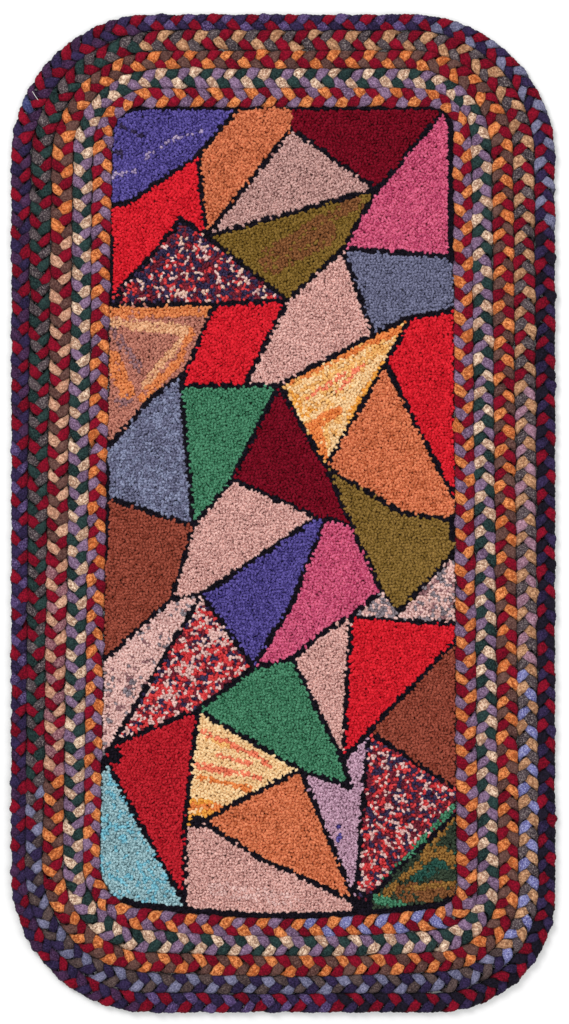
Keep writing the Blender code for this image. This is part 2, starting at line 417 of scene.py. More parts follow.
def addBraid(number, row):
    outer = outline(seams[number - 1])
    inner = outline(seams[number])
    stations = braid["stations"] * row["twists"]
    sides = braid["sides"]
    fine = braid["courseSteps"] * row["twists"]
    middleSeam = {key: (seams[number - 1][key] + seams[number][key]) / 2 for key in seamColumns}
    middle = evenlySpaced(outline(middleSeam), fine)
    if not row["clockwise"]:
        middle = middle[::-1]
    normals = outwardNormals(middle)
    if not row["clockwise"]:
        normals = -normals
    halfThick = braid["stripThick"] / 2
    reachOut = distanceTo(outer, middle) - halfThick + (braid["overlap"] if number > 1 else 0)
    reachIn = distanceTo(inner, middle) - halfThick + braid["overlap"]
    course = np.column_stack((middle, normals, reachOut, reachIn))
    starts = []
    for place, wools in row["stretches"]:
        gaps = np.linalg.norm(middle - np.array(place) * mm, axis=1)
        starts.append((gaps.argmin() / braid["courseSteps"], wools))
    starts.sort(key=lambda start: start[0])
    names = sorted({wool for _, wools in starts for wool in wools})

    allPoints, allTones, allRims, allWools, stripUv, bakeUv, quads = [], [], [], [], [], [], []
    bakeRows = 3 * braid["bakeChunks"]
    for strand in range(3):
        even = 2 * np.pi * np.arange(stations) / braid["stations"]
        turn = even + braid["crowding"] * np.cos(2 * even)
        twist = turn / (2 * np.pi) + strand / 3  # how many twists along the row
        courseAt = twist * braid["courseSteps"]
        here = [np.interp(courseAt, np.arange(fine), column, period=fine) for column in course.T]
        spine = np.column_stack(here[:2])
        normals = np.column_stack(here[2:4])
        lobePosition = (turn - np.pi / 4) / np.pi
        lobes = 2 * row["twists"]
        wide = eased(chance.uniform(0.82, 1.14, lobes), lobePosition) * plumpness(turn)
        thick = eased(chance.uniform(0.88, 1.12, lobes), lobePosition)
        drift = eased(chance.normal(0, 0.8 * mm, lobes), lobePosition)
        bulge = eased(chance.normal(0, 0.5 * mm, lobes), lobePosition)
        lift = eased(chance.normal(0, 0.3 * mm, lobes), lobePosition)
        swing = np.sin(turn + eased(chance.normal(0, 0.15, lobes), lobePosition))
        outward = here[4] + (np.minimum(bulge, 0) if number == 1 else bulge)
        across = swing * np.where(swing > 0, outward, here[5] + bulge) + drift * (1 - swing * swing)
        up = braid["middleHeight"] + braid["rise"] * np.sin(2 * turn) + lift
        path = np.column_stack((spine + normals * across[:, None], up))
        tangent = np.roll(path, -1, axis=0) - np.roll(path, 1, axis=0)
        tangent /= np.linalg.norm(tangent, axis=1)[:, None]
        faceAcross, faceUp = stripDirection(turn)
        facing = np.column_stack((normals * faceAcross[:, None], faceUp))
        facing -= tangent * np.sum(facing * tangent, axis=1)[:, None]
        facing /= np.linalg.norm(facing, axis=1)[:, None]
        breadth = np.cross(tangent, facing)
        angles = 2 * np.pi * np.arange(sides) / sides
        flat = signedPower(np.cos(angles), braid["squareness"]) * braid["stripWide"] / 2
        deep = signedPower(np.sin(angles), braid["squareness"]) * halfThick
        rings = path[:, None, :] + breadth[:, None, :] * (flat[None, :] * wide[:, None])[:, :, None]
        rings = rings + facing[:, None, :] * (deep[None, :] * thick[:, None])[:, :, None]
        rings[:, :, 2] = np.clip(rings[:, :, 2], braid["lowest"], braid["highest"])

        lobe = np.floor(lobePosition + 0.5).astype(int)
        lobeTone = chance.uniform(0, 1, lobes)[lobe % lobes]
        lobeTwist = np.mod((lobe * np.pi + np.pi / 4) / (2 * np.pi) + strand / 3, row["twists"])
        stretch = np.searchsorted([start for start, _ in starts], lobeTwist, side="right") - 1
        stationWool = np.array([names.index(starts[k][1][strand]) for k in stretch])

        station = np.arange(stations)
        following = (station + 1) % stations
        spot = np.arange(sides)
        beside = (spot + 1) % sides
        base = strand * stations * sides
        quad = np.stack((
            base + station[:, None] * sides + spot[None, :],
            base + following[:, None] * sides + spot[None, :],
            base + following[:, None] * sides + beside[None, :],
            base + station[:, None] * sides + beside[None, :],
        ), axis=2)
        step = np.linalg.norm(path - np.roll(path, 1, axis=0), axis=1)
        length = np.cumsum(step)
        ahead = length + step.mean()
        startV = spot * braid["girth"] / sides
        endV = (spot + 1) * braid["girth"] / sides
        stripUv.append(faceCorners(length + strand, ahead + strand, startV, endV))
        chunk = station * braid["bakeChunks"] // stations
        firstInChunk = np.array([station[chunk == k].min() for k in range(braid["bakeChunks"])])
        lastInChunk = np.array([station[chunk == k].max() for k in range(braid["bakeChunks"])])
        spanned = (lastInChunk - firstInChunk + 1)[chunk]
        bakeStart = 0.003 + 0.994 * (station - firstInChunk[chunk]) / spanned
        bakeEnd = 0.003 + 0.994 * (station + 1 - firstInChunk[chunk]) / spanned
        bakeRow = (strand * braid["bakeChunks"] + chunk)[:, None]
        lowV = (bakeRow + 0.05 + 0.9 * spot[None, :] / sides) / bakeRows
        highV = (bakeRow + 0.05 + 0.9 * (spot[None, :] + 1) / sides) / bakeRows
        bakeUv.append(faceCorners(bakeStart, bakeEnd, lowV, highV))
        quads.append(quad.reshape(-1, 4))
        allPoints.append(rings.reshape(-1, 3))
        allTones.append(np.repeat(lobeTone, sides))
        # the upturned folded edges of each strip, which the material darkens with painted shade
        edgeShare = np.clip(1 - 1.6 * np.abs(np.sin(angles)), 0, 1)
        allRims.append((np.abs(faceUp)[:, None] * edgeShare[None, :]).ravel())
        allWools.append(np.repeat(stationWool, sides))
    piece = newPiece(
        "braid_%d" % number, np.vstack(allPoints), [np.vstack(quads)],
        [stripMaterials[name] for name in names], np.concatenate(allWools),
        {"tone": np.concatenate(allTones), "rim": np.concatenate(allRims)},
        {"strip": np.vstack(stripUv), "OFBake": np.vstack(bakeUv)},
    )
    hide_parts("braid_row_%d" % number)
    return piece


def faceCorners(startU, endU, startV, endV):
    # a UV place for each corner of each quad, in the order of the quad's corners
    shape = np.broadcast(startU[:, None], startV).shape
    u = [np.broadcast_to(value[:, None], shape) for value in (startU, endU, endU, startU)]
    v = [np.broadcast_to(value, shape) for value in (startV, startV, endV, endV)]
    return np.stack((np.stack(u, axis=2), np.stack(v, axis=2)), axis=3).reshape(-1, 2)


for rowNumber, rowSettings in enumerate(braidRows, start=1):
    addBraid(rowNumber, rowSettings)
    print("braid row", rowNumber, "done")

# hooked panel: where the yarn changes, in millimetres from the rug's middle, charted to about 5 mm
panelCorners = {
    1: (-225, 500), 2: (-205, 360), 3: (-180, 365), 4: (-100, 420), 5: (-30, 500), 6: (10, 500), 7: (10, 450),
    8: (-90, 325), 9: (-120, 345), 10: (-160, 295), 11: (-195, 260), 12: (-215, 245), 13: (110, 380),
    14: (195, 480), 15: (215, 300), 16: (70, 310), 17: (5, 250), 18: (-80, 245), 19: (-115, 165),
    20: (-120, 150), 22: (-220, 60), 23: (-155, 135), 24: (-225, 25), 25: (-105, -15), 26: (-5, 150),
    27: (-45, 150), 28: (105, 210), 29: (150, 230), 30: (215, 240), 31: (120, 175), 32: (50, 55),
    33: (80, -15), 34: (40, -5), 35: (50, -5), 36: (-60, 40), 37: (-95, -95), 38: (-130, -100),
    39: (-35, -180), 40: (10, -105), 41: (115, -90), 42: (80, -120), 43: (135, -115), 44: (135, -125),
    45: (215, -10), 46: (215, -30), 47: (140, 0), 48: (-225, -185), 49: (-200, -270), 50: (-100, -230),
    51: (-115, -365), 52: (-95, -360), 53: (20, -300), 54: (80, -320), 55: (70, -290), 56: (10, -170),
    57: (45, -140), 58: (100, -255), 59: (220, -130), 60: (-225, -290), 61: (85, -455), 62: (-25, -405),
    63: (220, -335), 64: (95, -455), 65: (-115, -460), 66: (-205, -295), 67: (215, 500), 68: (-230, -300),
    69: (-230, -480), 70: (-115, -490), 71: (90, -490), 72: (230, -490),
}
# piece, corners, direction of its rows in degrees, and the yarns with the share of each
patches = (
    ("blues", (1, 5, 4, 3, 2), 35, (("royal", 1.0),)),
    ("oranges", (5, 6, 7, 8, 4), 60, (("rust", 1.0),)),
    ("pinks", (7, 13, 8), 20, (("greyPink", 1.0),)),
    ("reds", (6, 67, 14, 13, 7), 0, (("crimson", 1.0),)),
    ("roses", (14, 15, 16, 13), 40, (("rose", 1.0),)),
    ("reds", (2, 3, 4, 8, 9, 10, 11, 12), 50, (("scarlet", 1.0),)),
    ("tweeds", (9, 8, 17, 18, 12, 11, 10), -35,
     (("midnight", 0.4), ("wine", 0.28), ("cherry", 0.14), ("ecru", 0.08), ("shell", 0.1))),
    ("browns", (8, 13, 16, 17), 10, (("olive", 1.0),)),
    ("pinks", (16, 28, 26, 27, 17), 0, (("dustyPink", 1.0),)),
    ("blues", (16, 15, 30, 29, 28), 0, (("slate", 1.0),)),
    ("reds", (18, 17, 27, 20, 19), 30, (("scarlet", 1.0),)),
    ("yellows", (12, 18, 19, 23, 22), -65, (("tan", 1.0),)),
    ("blues", (22, 23, 19, 20, 25, 24), 0, (("slate", 0.6), ("paleSlate", 0.4))),
    ("greens", (20, 27, 26, 36, 25), 10, (("emerald", 1.0),)),
    ("reds", (26, 32, 33, 35, 34, 36), 0, (("crimson", 1.0),)),
    ("yellows", (26, 28, 29, 31, 32), 27, (("gold", 0.5), ("butter", 0.5))),
    ("reds", (29, 30, 45, 31), 0, (("scarlet", 1.0),)),
    ("oranges", (31, 45, 47, 32), 0, (("terracotta", 1.0),)),
    ("browns", (32, 47, 45, 46, 43, 41, 33), 0, (("moss", 1.0),)),
    ("pinks", (36, 34, 37, 38, 25), 0, (("dustyPink", 1.0),)),
    ("blues", (34, 35, 40, 39, 37), 0, (("royal", 1.0),)),
    ("roses", (35, 33, 41, 42, 57, 56, 39, 40), 0, (("rose", 1.0),)),
    ("browns", (24, 25, 38, 48), 0, (("chestnut", 1.0),)),
    ("tweeds", (38, 37, 49, 60, 48), 0, (("shell", 0.84), ("ash", 0.1), ("mauveGrey", 0.06))),
    ("tweeds", (37, 39, 50, 49), 0,
     (("cherry", 0.38), ("shell", 0.36), ("wine", 0.14), ("midnight", 0.12))),
    ("tweeds", (41, 43, 44, 42), 0, (("ash", 0.6), ("shell", 0.4))),
    ("tweeds", (46, 59, 44, 43), -10, (("shell", 0.6), ("ash", 0.28), ("mauveGrey", 0.12))),
    ("reds", (42, 44, 59, 58, 55), 0, (("scarlet", 1.0),)),
    ("pinks", (42, 57, 56, 55), 0, (("dustyPink", 1.0),)),
    ("browns", (59, 63, 58), 0, (("chestnut", 1.0),)),
    ("greens", (39, 56, 55, 54, 53, 50), 0, (("emerald", 1.0),)),
    ("reds", (50, 51, 65, 66, 49), 0, (("brick", 1.0),)),
    ("yellows", (50, 53, 52, 51), -30, (("butter", 1.0),)),
    ("aqua", (66, 65, 70, 69, 68), 0, (("aqua", 0.75), ("turquoise", 0.25))),
    ("oranges", (52, 53, 61, 62), 0, (("terracotta", 1.0),)),
    ("pinks", (51, 52, 62, 61, 71, 70, 65), 0, (("dustyPink", 1.0),)),
    ("lilacs", (58, 61, 53, 54, 55), 0, (("lilac", 1.0),)),
    ("tweeds", (58, 63, 64, 61), 0,
     (("midnight", 0.24), ("wine", 0.28), ("cherry", 0.26), ("shell", 0.22))),
    ("greens", (63, 72, 71, 64), 0, (("bottle", 1.0),)),
)
# streaks of another yarn inside a patch: yarn, from, to, half width in millimetres, share of the loops
streaks = (
    ("paleViolet", (-162, 417), (-129, 439), 2.2, 0.55),
    ("paleViolet", (-129, 438), (-96, 448), 1.6, 0.55),
    ("paleViolet", (-204, 393), (-175, 400), 3.5, 0.55),
    ("midnight", (-190, 453), (-164, 444), 4.5, 0.4), ("midnight", (-192, 422), (-184, 416), 4.0, 0.4),
    ("umber", (-11, 298), (45, 330), 17, 0.85), ("umber", (40, 342), (88, 364), 7, 0.85),
    ("pumpkin", (-205, 236), (-81, 238), 7.5, 0.92), ("beige", (-200, 224), (-113, 214), 6, 0.92),
    ("mauveGrey", (-201, 214), (-169, 173), 5, 0.6), ("beige", (-113, 211), (-162, 151), 5, 0.92),
    ("pumpkin", (-107, 214), (-124, 176), 4, 0.92), ("pumpkin", (-124, 176), (-166, 134), 5, 0.92),
    ("pumpkin", (-201, 184), (-184, 142), 9, 0.92), ("mauveGrey", (-193, 128), (-181, 134), 5, 0.6),
    ("apricot", (10, 153), (97, 197), 2.4, 0.92), ("gold", (17, 150), (111, 196), 2.4, 0.92),
    ("butter", (10, 145), (114, 193), 2.8, 0.92), ("gold", (36, 151), (124, 199), 2.2, 0.92),
    ("salmon", (31, 136), (72, 165), 2.6, 0.92), ("salmon", (64, 142), (92, 174), 2.0, 0.92),
    ("apricot", (106, 203), (144, 219), 6, 0.92), ("butter", (64, 125), (114, 179), 8, 0.92),
    ("amber", (68, 98), (118, 178), 2.6, 0.92), ("amber", (9, 144), (27, 110), 2.6, 0.92),
    ("amber", (22, 113), (39, 124), 2.6, 0.92), ("butter", (26, 110), (50, 126), 2.2, 0.92),
    ("apricot", (33, 102), (64, 120), 6, 0.92), ("apricot", (37, 96), (47, 66), 8, 0.92),
    ("butter", (55, 74), (73, 106), 2.8, 0.92), ("salmon", (-93, -256), (-31, -284), 2.8, 0.92),
    ("salmon", (-31, -284), (-14, -298), 2.2, 0.92), ("gold", (-91, -263), (-65, -273), 2.0, 0.92),
    ("salmon", (-77, -282), (-39, -294), 2.2, 0.92), ("salmon", (-100, -295), (-64, -303), 4, 0.92),
    ("salmon", (-65, -301), (-27, -309), 2.4, 0.92), ("apricot", (-99, -308), (-39, -322), 3, 0.92),
    ("apricot", (-110, -341), (-74, -345), 5, 0.92), ("amber", (-112, -359), (-88, -351), 5, 0.92),
    ("amber", (-110, -338), (-84, -338), 2.5, 0.92), ("royal", (65, -366), (65, -382), 1.6, 0.92),
    ("shell", (-80, -440), (10, -452), 8, 0.6), ("teal", (153, -424), (199, -404), 8, 0.92),
    ("emerald", (199, -343), (105, -448), 4.2, 0.92), ("ochre", (197, -359), (165, -399), 3.6, 0.92),
    ("ochre", (180, -393), (116, -449), 4.4, 0.92), ("ochre", (186, -397), (201, -407), 8, 0.92),
    ("umber", (143, -444), (205, -440), 11, 0.85), ("ochre", (145, -440), (205, -432), 3, 0.92),
    ("emerald", (109, -451), (140, -460), 5, 0.92),
)
# deep and bright colour of each yarn, and how strongly its plies are speckled
yarns = {
    "black": ((8, 6, 12), (30, 25, 36), 0.6),
    "royal": ((40, 30, 92), (108, 96, 172), 0.7),
    "midnight": ((22, 16, 40), (70, 58, 92), 0.8),
    "paleViolet": ((120, 104, 150), (196, 176, 200), 0.8),
    "rust": ((158, 76, 44), (230, 140, 98), 0.5),
    "greyPink": ((128, 86, 84), (222, 180, 172), 1.0),
    "dustyPink": ((152, 100, 96), (240, 194, 184), 1.0),
    "crimson": ((92, 0, 16), (134, 18, 40), 0.5),
    "rose": ((160, 42, 84), (228, 112, 146), 0.6),
    "scarlet": ((176, 12, 28), (234, 44, 58), 0.5),
    "brick": ((150, 10, 26), (206, 44, 56), 0.5),
    "wine": ((76, 18, 34), (132, 46, 60), 0.8),
    "cherry": ((176, 28, 40), (228, 80, 80), 0.7),
    "ecru": ((190, 140, 120), (244, 214, 196), 0.8),
    "olive": ((92, 68, 18), (146, 116, 56), 0.7),
    "moss": ((98, 74, 24), (154, 122, 64), 0.7),
    "umber": ((96, 56, 30), (148, 98, 60), 0.7),
    "ochre": ((112, 76, 34), (168, 124, 64), 0.7),
    "slate": ((68, 68, 92), (132, 134, 162), 0.9),
    "paleSlate": ((88, 92, 118), (152, 158, 186), 0.9),
    "apricot": ((200, 104, 44), (246, 156, 90), 0.5),
    "pumpkin": ((190, 104, 52), (234, 152, 98), 0.5),
    "tan": ((138, 78, 68), (208, 142, 122), 0.8),
    "beige": ((190, 130, 92), (240, 192, 150), 0.6),
    "salmon": ((214, 104, 74), (250, 150, 116), 0.5),
    "amber": ((206, 130, 40), (250, 184, 88), 0.5),
    "gold": ((206, 144, 72), (250, 202, 130), 0.5),
    "butter": ((214, 168, 112), (254, 224, 176), 0.6),
    "emerald": ((28, 84, 56), (88, 152, 118), 0.9),
    "teal": ((20, 56, 50), (52, 96, 84), 0.8),
    "terracotta": ((168, 80, 44), (236, 144, 102), 0.5),
    "chestnut": ((112, 44, 30), (170, 88, 70), 0.6),
    "shell": ((176, 130, 126), (244, 208, 200), 0.9),
    "ash": ((92, 82, 90), (160, 148, 154), 0.9),
    "mauveGrey": ((110, 72, 78), (166, 124, 126), 0.8),
    "aqua": ((88, 122, 130), (176, 210, 216), 0.9),
    "turquoise": ((72, 134, 154), (144, 210, 226), 0.8),
    "lilac": ((128, 88, 110), (218, 180, 200), 1.0),
    "bottle": ((24, 34, 30), (66, 80, 62), 0.8),
}
pileLook = {"roughness": 0.95, "sheen": 0.02, "gloss": 0.05}


def yarnMaterial(name):
    deep, bright, speckle = yarns[name]
    shade = Shade("yarn_" + name, pileLook)
    place = shade.node("ShaderNodeTexCoord", {}, {}, "Object")
    tone = shade.attribute("tone")
    ply = shade.rise(shade.noise(place, 640.0, 2.0, 0.6), 0.36, 0.64)
    cloud = shade.noise(place, 45.0)
    blend = tone * (0.8 - 0.4 * speckle) + ply * (0.35 + 0.6 * speckle) + cloud * 0.3 - 0.25
    colour = shade.mix(blend, screen(deep), screen(bright))
    # painted shade: loops darker towards their feet, down in the crevices between them
    depth = shade.rise(shade.height(place), 2.8 * mm, 7.0 * mm)
    colour = shade.mix(depth, screen(deep, 0.62), colour)
    shade.feed(shade.surface["Base Color"], colour)
    shade.bump(ply, 0.5, 0.5 * mm)
    return shade.material


yarnMaterials = {name: yarnMaterial(name) for name in yarns}

pile = {
    "spacing": 3.6 * mm,
    "rowGap": 3.25 * mm,
    "height": 8.8 * mm,
    "blackHeight": 8.0 * mm,
    "uneven": 0.4 * mm,
    # low swells in the loops' tops: radians a metre along X and along Y, and the phase
    "swells": ((31.0, 23.0, 0.7), (17.0, -29.0, 0.0)),
    "clothTop": 3.0 * mm,
    "halfLong": 2.75 * mm,
    "halfWide": 1.85 * mm,
    "outlineOffset": 1.4 * mm,  # of the two black rows from the line between two patches
    "edgeInset": 1.7 * mm,
    # how near two loops may lie: two black ones, a coloured one to a black one, two coloured ones
    "blackApart": 2.5 * mm,
    "clearOfBlack": 2.4 * mm,
    "apart": 2.0 * mm,
    "bareSpot": 2.6 * mm,  # a spot this far from every loop gets one more
    "pushReach": 3.8 * mm,
    "clusters": 14000,  # spots that share one draw of the yarn
    "clusterShare": 0.6,  # of the loops that follow their cluster
}
# black along the panel's edge: from, to (clockwise), rows
blackEdges = (
    ((-212, -300), (-212, -284), 2), ((-207, -54), (-206, 60), 1), ((-204, 245), (-203, 326), 1),
    ((-197, 476), (-25, 476), 1), ((9, 476), (199, 472), 1), ((199, 468), (200, 294), 2),
    ((201, -2), (201, -32), 2), ((200, -452), (-190, -455), 2),
)
# corners of the network that are joined by one thin black row only
thinOutlines = ((41, 43), (43, 44), (42, 44), (49, 60))
# black clumps: middle and radius in millimetres
blackClumps = ((92, -456, 14), (-200, -284, 11), (-196, 254, 8), (-100, -361, 9))

panelLine = outline(seams[-1])
panelFine = evenlySpaced(panelLine, 4000)
panelTree = treeOf(panelFine)
panelNormals = outwardNormals(panelFine)


def holds(polygon, points):
    # which points lie inside a closed polygon
    inside = np.zeros(len(points), bool)
    for (x1, y1), (x2, y2) in zip(polygon, np.roll(polygon, -1, axis=0)):
        if y1 == y2:
            continue
        crosses = (y1 > points[:, 1]) != (y2 > points[:, 1])
        meeting = x1 + (points[:, 1] - y1) * (x2 - x1) / (y2 - y1)
        inside ^= crosses & (points[:, 0] < meeting)
    return inside


def gapToSegment(points, start, end):
    along = end - start
    share = np.clip((points - start) @ along / (along @ along), 0, 1)
    return np.linalg.norm(points - start - share[:, None] * along, axis=1)


def insetOf(points):
    # how far inside the panel's edge each point lies, negative outside
    inset = []
    for point in points:
        _, index, _ = panelTree.find((point[0], point[1], 0.0))
        inset.append(-(point - panelFine[index]) @ panelNormals[index])
    return np.array(inset)


def cornerAt(number):
    return np.array(panelCorners[number]) * mm


patchShapes = [np.array([panelCorners[number] for number in patch[1]]) * mm for patch in patches]


def patchOf(points):
    # the patch that holds each point, or the nearest one
    owner = np.full(len(points), -1)
    for index, shape in enumerate(patchShapes):
        owner[holds(shape, points) & (owner < 0)] = index
    lost = np.flatnonzero(owner < 0)
    if len(lost):
        gaps = []
        for shape in patchShapes:
            sides = zip(shape, np.roll(shape, -1, axis=0))
            gaps.append(np.min([gapToSegment(points[lost], start, end) for start, end in sides], axis=0))
        owner[lost] = np.argmin(gaps, axis=0)
    return owner


def outlineSegments():
    # the sides that two patches share, away from the panel's edge
    found = set()
    for _, numbers, _, _ in patches:
        for first, second in zip(numbers, numbers[1:] + numbers[:1]):
            found.add((min(first, second), max(first, second)))
    segments = []
    for first, second in sorted(found):
        start = cornerAt(first)
        end = cornerAt(second)
        middle = (start + end) / 2
        if insetOf([middle])[0] > 5 * mm:
            thin = (first, second) in thinOutlines or (second, first) in thinOutlines
            segments.append((start, end, thin))
    return segments


def blackLoops():
    places = []
    for start, end, thin in segments:
        along = (end - start) / np.linalg.norm(end - start)
        across = np.array((-along[1], along[0]))
        count = max(2, int(np.linalg.norm(end - start) / pile["spacing"]) + 1)
        for offset in ((0.0,) if thin else (-pile["outlineOffset"], pile["outlineOffset"])):
            wander = chance.normal(0, 0.6 * mm, (count, 2))
            places.append(np.linspace(start, end, count) + across * offset + wander)
    for start, end, rows in blackEdges:
        first = panelTree.find((start[0] * mm, start[1] * mm, 0.0))[1]
        last = panelTree.find((end[0] * mm, end[1] * mm, 0.0))[1]
        run = np.arange(first, last if last > first else last + len(panelFine)) % len(panelFine)
        step = max(1, int(pile["spacing"] / np.linalg.norm(panelFine[1] - panelFine[0])))
        for line in range(rows):
            inset = pile["edgeInset"] + line * pile["rowGap"]
            spots = run[(line * step) // 2::step]
            places.append(panelFine[spots] - panelNormals[spots] * inset)
    for x, y, radius in blackClumps:
        steps = np.arange(-radius, radius + 1, pile["spacing"] / mm)
        for offsetX in steps:
            for offsetY in steps:
                if offsetX ** 2 + offsetY ** 2 <= radius ** 2:
                    places.append(np.array([(x + offsetX, y + offsetY)]) * mm)
    return np.vstack(places)


def thinned(points, closest):
    # drops each point that lies too near one kept before it
    tree = treeOf(points)
    keep = np.ones(len(points), bool)
    for index, point in enumerate(points):
        if not keep[index]:
            continue
        for _, other, _ in tree.find_range((point[0], point[1], 0.0), closest):
            if other > index:
                keep[other] = False
    return points[keep]


def rowsOfLoops(index):
    # one patch filled with rows of loops in its own direction
    shape = patchShapes[index]
    turn = np.radians(patches[index][2])
    along = np.array((np.cos(turn), np.sin(turn)))
    across = np.array((-along[1], along[0]))
    centre = (shape.min(axis=0) + shape.max(axis=0)) / 2
    reach = np.linalg.norm(shape.max(axis=0) - shape.min(axis=0)) / 2 + 15 * mm
    lines = np.arange(-reach, reach, pile["rowGap"])
    spots = np.arange(-reach, reach, pile["spacing"])
    grid = []
    for number, line in enumerate(lines):
        shift = pile["spacing"] * (0.5 * (number % 2) + 0.25 * np.sin(number * 1.7))
        bend = 1.2 * mm * np.sin(spots * 40 + number * 0.3)
        grid.append(centre + np.outer(spots + shift, along) + np.outer(line + bend, across))
    points = np.vstack(grid)
    return points + chance.uniform(-1.1 * mm, 1.1 * mm, points.shape)


def relaxed(points, fixed, rounds):
    # loops push each other apart until the panel is evenly full
    reach = pile["pushReach"]
    for _ in range(rounds):
        tree = treeOf(points)
        moves = np.zeros_like(points)
        for index, point in enumerate(points):
            for _, other, gap in tree.find_range((point[0], point[1], 0.0), reach):
                if other != index and gap > 0:
                    moves[index] += (point - points[other]) * ((reach - gap) / gap)
        moves[:fixed] *= 0.1
        length = np.maximum(np.linalg.norm(moves, axis=1), 1e-9)
        points = points + moves * (np.minimum(0.3 * length, 0.8 * mm) / length)[:, None]
        inset = insetOf(points)
        out = np.flatnonzero(inset < pile["edgeInset"])
        for index in out:
            _, near, _ = panelTree.find((points[index][0], points[index][1], 0.0))
            points[index] = panelFine[near] - panelNormals[near] * pile["edgeInset"]
    return points


def layPile():
    # every loop's place and patch; black loops have no patch (-1)
    black = blackLoops()
    black = black[insetOf(black) > 1.2 * mm]
    black = thinned(black, pile["blackApart"])
    blackTree = treeOf(black)
    found = []
    for index in range(len(patches)):
        points = rowsOfLoops(index)
        low = patchShapes[index].min(axis=0) - 12 * mm
        high = patchShapes[index].max(axis=0) + 12 * mm
        points = points[np.all((points > low) & (points < high), axis=1)]
        points = points[insetOf(points) > pile["edgeInset"]]
        points = points[patchOf(points) == index]
        clear = [blackTree.find((x, y, 0.0))[2] > pile["clearOfBlack"] for x, y in points]
        found.append(points[np.array(clear, bool)])
    points = thinned(np.vstack([black] + found), pile["apart"])
    tree = treeOf(points)
    low = panelFine.min(axis=0)
    high = panelFine.max(axis=0)
    xs, ys = np.meshgrid(np.arange(low[0], high[0], 2 * mm), np.arange(low[1], high[1], 2 * mm))
    gaps = np.column_stack((xs.ravel(), ys.ravel()))
    gaps = gaps[insetOf(gaps) > pile["edgeInset"]]
    gaps = gaps[[tree.find((x, y, 0.0))[2] > pile["bareSpot"] for x, y in gaps]]
    points = np.vstack((points, thinned(gaps, pile["bareSpot"])))
    points = relaxed(points, len(black), 4)
    owner = patchOf(points)
    owner[:len(black)] = -1
    return points, owner


segments = outlineSegments()
loopPlaces, loopPatches = layPile()
print("pile laid,", len(loopPlaces), "loops")


def loopKernel():
    # one loop's crown: a low ring, an upper ring and a two-point ridge, in shares of its half sizes
    angles = 2 * np.pi * (np.arange(6) + 0.5) / 6
    low = np.column_stack((1.4 * np.cos(angles), 1.6 * np.sin(angles), np.zeros(6)))
    high = np.column_stack((0.98 * np.cos(angles), 0.96 * np.sin(angles), np.full(6, 0.62)))
    ridge = np.array(((0.42, 0, 1.0), (-0.42, 0, 1.0)))
    k = np.arange(6)
    after = (k + 1) % 6
    quads = np.column_stack((k, after, 6 + after, 6 + k))
    right = ((10, 11, 12), (11, 6, 12), (6, 7, 12))
    left = ((7, 8, 13), (8, 9, 13), (9, 10, 13))
    bridge = ((7, 13, 12), (10, 12, 13))
    spread = np.concatenate((np.full(6, 0.46), np.full(6, 0.3), np.full(2, 0.1)))
    turns = np.concatenate((angles, angles, (0.0, np.pi)))
    flat = np.column_stack((spread * np.cos(turns), spread * np.sin(turns))) + 0.5
    return np.vstack((low, high, ridge)), quads, np.array(right + left + bridge), flat


kernelPoints, kernelQuads, kernelTriangles, kernelFlat = loopKernel()


def addPile(name, chosen, loopYarns):
    # one piece of pile: every chosen loop with its yarn
    count = len(chosen)
    size = len(kernelPoints)
    places = loopPlaces[chosen]
    yaw = chance.uniform(0, np.pi, count)
    swell = np.zeros(count)
    for perX, perY, phase in pile["swells"]:
        swell += np.sin(places[:, 0] * perX + places[:, 1] * perY + phase) / len(pile["swells"])
    height = pile["blackHeight"] if name == "black" else pile["height"]
    unlike = np.clip(chance.normal(0, 0.55 * mm, count), -1.4 * mm, 1.2 * mm)
    tops = height + pile["uneven"] * swell + unlike
    long = pile["halfLong"] * chance.uniform(0.8, 1.15, count)
    wide = pile["halfWide"] * chance.uniform(0.85, 1.15, count)
    rough = kernelPoints[None, :, :] * (1 + chance.normal(0, 0.17, (count, size, 3)) * (1, 1, 0.35))
    x = rough[:, :, 0] * long[:, None]
    y = rough[:, :, 1] * wide[:, None]
    z = pile["clothTop"] + rough[:, :, 2] * (tops - pile["clothTop"])[:, None]
    lean = chance.normal(0, 0.75 * mm, (count, 2))
    cosine = np.cos(yaw)[:, None]
    sine = np.sin(yaw)[:, None]
    across = places[:, :1] + x * cosine - y * sine + lean[:, :1] * rough[:, :, 2]
    along = places[:, 1:] + x * sine + y * cosine + lean[:, 1:] * rough[:, :, 2]
    points = np.stack((across, along, z), axis=2).reshape(-1, 3)
    base = np.arange(count)[:, None, None] * size
    quads = (base + kernelQuads[None]).reshape(-1, 4)
    triangles = (base + kernelTriangles[None]).reshape(-1, 3)
    names = sorted(set(loopYarns))
    yarnIndex = np.array([names.index(yarn) for yarn in loopYarns])
    faceYarn = np.concatenate([np.repeat(yarnIndex, len(block)) for block in (kernelQuads, kernelTriangles)])
    tones = {"tone": np.repeat(chance.uniform(0, 1, count), size)}
    grid = int(np.ceil(np.sqrt(count)))
    cell = np.column_stack((np.arange(count) % grid, np.arange(count) // grid))
    spots = ((cell[:, None, :] + kernelFlat[None]) / grid).reshape(-1, 2)
    bake = spots[np.concatenate((quads.ravel(), triangles.ravel()))]
    materials = [yarnMaterials[yarn] for yarn in names]
    blocks = [quads, triangles]
    piece = newPiece("pile_" + name, points, blocks, materials, faceYarn, tones, {"OFBake": bake})
    return piece


